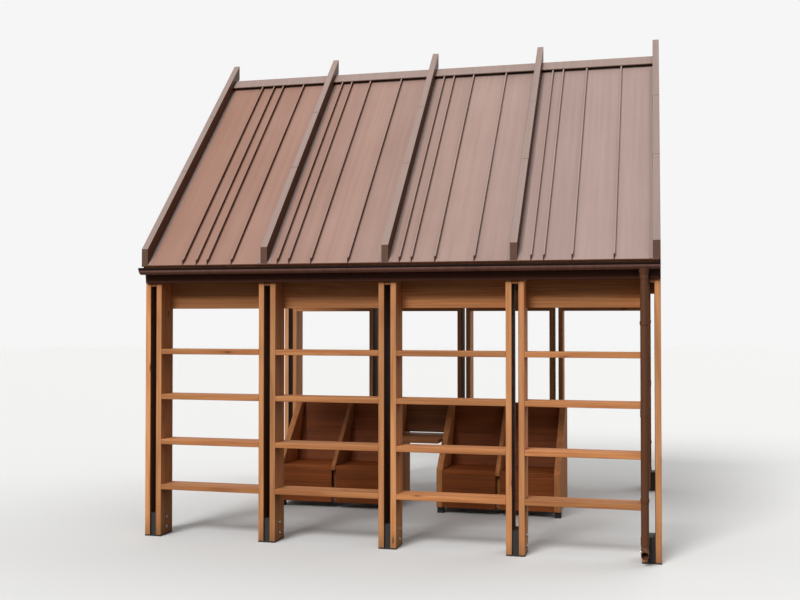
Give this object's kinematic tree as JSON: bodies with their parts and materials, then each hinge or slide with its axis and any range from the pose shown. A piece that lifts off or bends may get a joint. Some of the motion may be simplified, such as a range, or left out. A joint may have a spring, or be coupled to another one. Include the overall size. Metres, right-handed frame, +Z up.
{
  "type": "bus shelter",
  "caption": "Open timber waiting shelter of twin-plank frames with a steep ribbed metal roof, shelf-like rails across the road side and benches inside.",
  "frame": {"origin": "ground level under the middle of the building", "axes": "+X along the road side to the right as seen from the road, +Y from the road to the back, +Z up"},
  "size_m": [4.35, 3.946, 4.5488],
  "materials": {
    "frame_timber": "oiled",
    "rail_timber": "oiled",
    "block_timber": "oiled",
    "roof_timber": "oiled",
    "bench_timber": "stained",
    "bench_end_timber": "stained",
    "roof_metal": "satin",
    "edge_metal": "satin",
    "rain_metal": "satin",
    "foot_steel": "satin"
  },
  "bodies": {
    "root": {"front_post_1": "frame_timber", "front_post_2": "frame_timber", "front_post_3": "frame_timber", "front_post_4": "frame_timber", "front_post_5": "frame_timber", "rear_post_1": "frame_timber", "rear_post_2": "frame_timber", "rear_post_3": "frame_timber", "rear_post_4": "frame_timber", "rear_post_5": "frame_timber", "front_rafter_1": "frame_timber", "front_rafter_2": "frame_timber", "front_rafter_3": "frame_timber", "front_rafter_4": "frame_timber", "front_rafter_5": "frame_timber", "rear_rafter_1": "frame_timber", "rear_rafter_2": "frame_timber", "rear_rafter_3": "frame_timber", "rear_rafter_4": "frame_timber", "rear_rafter_5": "frame_timber", "spacer_blocks": "block_timber", "post_feet": "foot_steel", "rails_bay_1": "rail_timber", "rails_bay_2": "rail_timber", "rails_bay_3": "rail_timber", "rails_bay_4": "rail_timber", "headers": "block_timber", "purlins": "roof_timber", "roof_boards": "roof_timber", "front_sheet": "roof_metal", "rear_sheet": "roof_metal", "ridge_cap": "roof_metal", "front_ribs": "roof_metal", "rear_ribs": "roof_metal", "fascias": "edge_metal", "front_verges": "edge_metal", "rear_verges": "edge_metal", "gutters": "rain_metal", "downpipes": "rain_metal", "bench_panels": "bench_timber", "bench_seats": "bench_timber", "bench_backs": "bench_timber", "bench_sides": "bench_end_timber", "bench_feet": "foot_steel", "bench_table": "bench_timber"}
  },
  "joints": []
}
